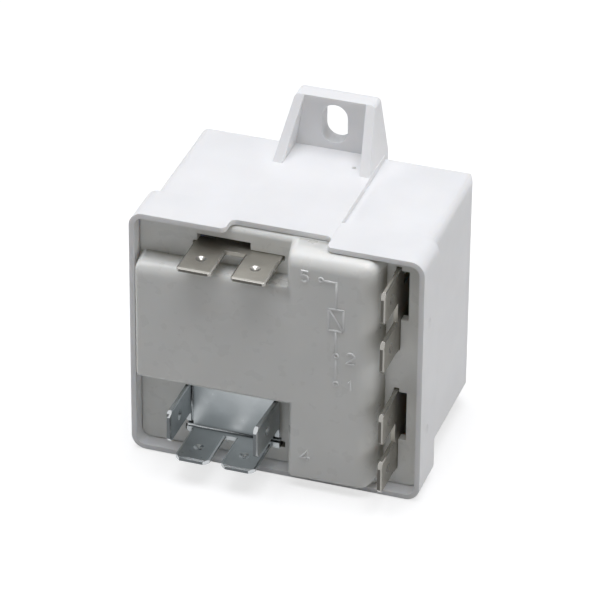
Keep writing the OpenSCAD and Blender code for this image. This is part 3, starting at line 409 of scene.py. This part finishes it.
def plateau():
    """The block that carries the marks: it stands in front of the rim, with broadly rounded edges."""
    low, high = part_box("front_insert")
    back_y = RIM_Y + 4.5 * MM
    margin = 0.9 * MM
    left, bottom = low.x + margin, low.z + margin
    right, top = high.x - 7.58 * MM, high.z - 0.08 * MM
    step_x, recess_x = 3.05 * MM, 3.45 * MM
    ledge_z, recess_z = top - 7.5 * MM, bottom + 15.0 * MM
    # Outline seen from the front, how far each point moves sideways at the back (the mould's draft),
    # and the radii of the corner there and of the front edge that follows it
    outline = [
        (left, recess_z, -0.9, 0.6, 0.6),
        (left, ledge_z, -0.9, 1.0, 2.6),
        (step_x, ledge_z, -1.1, 0.0, 0.8),
        (step_x, top, -1.1, 1.2, 2.6),
        (right, top, 1.5, 2.0, 2.5),
        (right, bottom, 1.5, 1.5, 0.5),
        (recess_x, bottom, -0.9, 0.5, 0.6),
        (recess_x, recess_z, -0.9, 0.0, 0.4),
    ]
    most = 2.6
    bm = bmesh.new()
    weight = bm.edges.layers.float.new("bevel_weight_edge")
    front = [bm.verts.new((x, FACE_Y, z)) for x, z, *_ in outline]
    rear = [bm.verts.new((x + draft * MM, back_y, z)) for x, z, draft, *_ in outline]
    bm.faces.new(front)
    bm.faces.new(list(reversed(rear)))
    for i, (*_, corner_r, edge_r) in enumerate(outline):
        j = (i + 1) % len(outline)
        bm.faces.new((front[j], front[i], rear[i], rear[j]))
        bm.edges.get((front[i], rear[i]))[weight] = corner_r / most
        bm.edges.get((front[i], front[j]))[weight] = edge_r / most
    bmesh.ops.recalc_face_normals(bm, faces=bm.faces[:])
    o = finish_piece("plateau_front", bm, GREY, True)
    bevel = o.modifiers.new("round", "BEVEL")
    bevel.width = most * MM
    bevel.segments = 10
    bevel.limit_method = "WEIGHT"
    bevel.harden_normals = True


def ridge(bm, a, b, width):
    """A raised line with sloping sides from a to b, both given as (x, z) in mm."""
    a, b = Vector(a), Vector(b)
    d = (b - a).normalized()
    s = Vector((-d.y, d.x)) * width / 2
    reach = d * width / 2
    foot = [a - reach - s, b + reach - s, b + reach + s, a - reach + s]
    cap = [a - s * 0.55 - d * width * 0.28, b - s * 0.55 + d * width * 0.28,
           b + s * 0.55 + d * width * 0.28, a + s * 0.55 - d * width * 0.28]
    low = [bm.verts.new((p.x * MM, FACE_Y + SUNK, p.y * MM)) for p in foot]
    top = [bm.verts.new((p.x * MM, FACE_Y - RISE, p.y * MM)) for p in cap]
    bm.faces.new(top)
    for i in range(4):
        j = (i + 1) % 4
        bm.faces.new((low[i], low[j], top[j], top[i]))


def ring_ridge(bm, centre, r, width):
    """A raised ring of half-round section."""
    n, k = 24, 5
    rows = []
    for i in range(n):
        a = 2 * math.pi * i / n
        row = []
        for j in range(k):
            t = math.pi * j / (k - 1)
            rr = r + width / 2 * math.cos(t)
            x = centre[0] + rr * math.cos(a)
            z = centre[1] + rr * math.sin(a)
            row.append(bm.verts.new((x * MM, FACE_Y + SUNK - (RISE + SUNK) * math.sin(t), z * MM)))
        rows.append(row)
    for i in range(n):
        for j in range(k - 1):
            a, b = rows[i], rows[(i + 1) % n]
            bm.faces.new((a[j], a[j + 1], b[j + 1], b[j]))


def symbol():
    """The circuit's line drawing on the plateau: coil, contact and their ends, all in mm."""
    bm = bmesh.new()
    w = 0.34
    ring_r, ring_w = 0.42, 0.3
    x = 11.88
    ring_ridge(bm, (9.12, 17.92), ring_r, ring_w)
    ridge(bm, (9.69, 17.88), (x, 17.85), w)
    ridge(bm, (x, 17.85), (x, 12.63), w)
    lx, rx, lo, hi = 10.53, 13.22, 8.25, 12.53
    for a, b in (((lx, lo), (rx, lo)), ((rx, lo), (rx, hi)), ((rx, hi), (lx, hi)), ((lx, hi), (lx, lo)),
                 ((lx + 0.1, hi - 0.1), (rx - 0.1, lo + 0.1))):
        ridge(bm, a, b, w)
    ridge(bm, (x, 8.0), (x, 4.12), w)
    ring_ridge(bm, (11.98, 3.22), ring_r, ring_w)
    ridge(bm, (x + 0.05, 2.27), (x + 0.05, -1.46), w)
    ring_ridge(bm, (12.03, -2.45), ring_r, ring_w)
    finish_piece("circuit_symbol", bm, MARK, True)


def stroke_path(bm, points, width):
    """A raised stroke of one width through points (x, z) in mm, mitred at its corners."""
    section = ((-0.5, SUNK), (-0.3, -RISE), (0.3, -RISE), (0.5, SUNK))
    pts = [Vector(p) for p in points]
    n = len(pts)
    rows = []
    for i, p in enumerate(pts):
        d1 = (pts[i] - pts[i - 1]).normalized() if i > 0 else None
        d2 = (pts[i + 1] - pts[i]).normalized() if i < n - 1 else None
        d = ((d1 or d2) + (d2 or d1)).normalized()
        side = Vector((-d.y, d.x))
        ref = d1 or d2
        stretch = 1 / max(0.5, abs(side.dot(Vector((-ref.y, ref.x)))))
        row = []
        for off, y in section:
            q = p + side * off * width * stretch
            row.append(bm.verts.new((q.x * MM, FACE_Y + y, q.y * MM)))
        rows.append(row)
    for i in range(n - 1):
        for j in range(3):
            bm.faces.new((rows[i][j], rows[i + 1][j], rows[i + 1][j + 1], rows[i][j + 1]))
    bm.faces.new(rows[0])
    bm.faces.new(list(reversed(rows[-1])))


def arc(cx, cz, rx, rz, a0, a1, n):
    """Points on an ellipse's arc from a0 to a1 degrees, in n steps."""
    turns = [math.radians(a0 + (a1 - a0) * i / n) for i in range(n + 1)]
    return [(cx + rx * math.cos(a), cz + rz * math.sin(a)) for a in turns]


# Strokes of each plain numeral in a cell 1 wide and 1 high
NUMERALS = {
    "5": [[(0.92, 1.0), (0.16, 1.0), (0.1, 0.56)] + arc(0.46, 0.32, 0.46, 0.32, 130, -140, 12)],
    "2": [arc(0.48, 0.70, 0.42, 0.30, 165, -30, 9) + [(0.06, 0.0), (0.95, 0.0)]],
    "1": [[(0.05, 0.78), (0.6, 1.0), (0.6, 0.0)]],
    "4": [[(0.98, 0.28), (0.04, 0.28), (0.70, 1.0), (0.70, 0.0)]],
}


def numeral(name, char, x0, x1, z0, z1):
    """A raised numeral that fills the cell from (x0, z0) to (x1, z1), in mm."""
    bm = bmesh.new()
    w = 0.36
    for path in NUMERALS[char]:
        pts = [(x0 + w / 2 + (x1 - x0 - w) * u, z0 + w / 2 + (z1 - z0 - w) * v) for u, v in path]
        stroke_path(bm, pts, w)
    finish_piece(name, bm, MARK)


pressed_spring()
plateau()
symbol()
numeral("numeral_5", "5", 5.27, 7.12, 16.82, 19.28)
numeral("numeral_2", "2", 13.67, 15.66, 1.91, 4.40)
numeral("numeral_1", "1", 14.17, 15.06, -3.46, -1.27)
numeral("numeral_4", "4", 5.56, 7.65, -19.59, -17.30)


# Camera of the photograph
AZ, EL, ROLL = math.radians(18.293), math.radians(31.557), math.radians(0.513)
TARGET = Vector((-0.43, -20.5, 1.743)) * MM
DISTANCE = 761.078 * MM
FOCAL_PX, PHOTO_PX, SENSOR = 4325.4, 600, 36
back = Vector((math.sin(AZ) * math.cos(EL), -math.cos(AZ) * math.cos(EL), math.sin(EL)))
right0 = Vector((math.cos(AZ), math.sin(AZ), 0))
up0 = back.cross(right0)
right = math.cos(ROLL) * right0 + math.sin(ROLL) * up0
up = -math.sin(ROLL) * right0 + math.cos(ROLL) * up0
cam_data = bpy.data.cameras.new("camera")
cam_data.sensor_width = SENSOR
cam_data.lens = FOCAL_PX / PHOTO_PX * SENSOR
cam_data.clip_start, cam_data.clip_end = 0.05, 20
cam = bpy.data.objects.new("camera", cam_data)
scene.collection.objects.link(cam)
turn = Matrix((right, up, back)).transposed().to_4x4()
cam.matrix_world = Matrix.Translation(TARGET + back * DISTANCE) @ turn
scene.camera = cam


# Floor, world and lights
FLOOR_Z = box_cad[0][2] - 0.2 * MM


def seen_directly(n, links):
    """1 for camera, glossy and transmission rays."""
    path = n.new("ShaderNodeLightPath")
    most = path.outputs["Is Camera Ray"]
    for other in ("Is Glossy Ray", "Is Transmission Ray"):
        m = n.new("ShaderNodeMath")
        m.operation = "MAXIMUM"
        links.new(most, m.inputs[0])
        links.new(path.outputs[other], m.inputs[1])
        most = m.outputs[0]
    return most


def make_floor():
    """A pale floor that glows for camera rays only, so that it is white and keeps a soft shadow."""
    bm = bmesh.new()
    bmesh.ops.create_grid(bm, x_segments=1, y_segments=1, size=3)
    mesh = bpy.data.meshes.new("floor")
    bm.to_mesh(mesh)
    bm.free()
    floor = bpy.data.objects.new("floor", mesh)
    scene.collection.objects.link(floor)
    floor.location = (0, 0, FLOOR_Z)
    m, n, links, bsdf = new_material("floor_white", (0.45, 0.45, 0.45), 0.9)
    bsdf.inputs["Specular IOR Level"].default_value = 0.0
    bsdf.inputs["Emission Color"].default_value = (1, 1, 1, 1)
    glow = n.new("ShaderNodeMath")
    glow.operation = "MULTIPLY"
    glow.inputs[1].default_value = 0.66
    links.new(seen_directly(n, links), glow.inputs[0])
    links.new(glow.outputs[0], bsdf.inputs["Emission Strength"])
    mesh.materials.append(m)


make_floor()
world = bpy.data.worlds.new("studio")
world.use_nodes = True
scene.world = world
wn, wl = world.node_tree.nodes, world.node_tree.links
background = wn["Background"]
mix = wn.new("ShaderNodeMix")
mix.data_type = "RGBA"
wl.new(seen_directly(wn, wl), mix.inputs["Factor"])
mix.inputs["A"].default_value = (0.07, 0.07, 0.07, 1)
mix.inputs["B"].default_value = (1, 1, 1, 1)
wl.new(mix.outputs["Result"], background.inputs["Color"])


def area(name, place, size, power, color=(1, 1, 1)):
    """A soft round lamp that looks at the origin."""
    data = bpy.data.lights.new(name, "AREA")
    data.shape = "DISK"
    data.size = size
    data.energy = power
    data.color = color
    o = bpy.data.objects.new(name, data)
    scene.collection.objects.link(o)
    o.location = place
    o.rotation_euler = (-Vector(place)).to_track_quat("-Z", "Y").to_euler()


area("key_top", (0.03, -0.05, 1.2), 1.1, 13.4, (0.98, 0.99, 1.03))
area("front_fill", (0.3, -1.5, 0.5), 1.8, 0.8)
area("side_right", (1.3, 0.0, 0.5), 0.8, 4.5)
area("side_left", (-1.3, 0.0, 0.5), 0.8, 4.0)
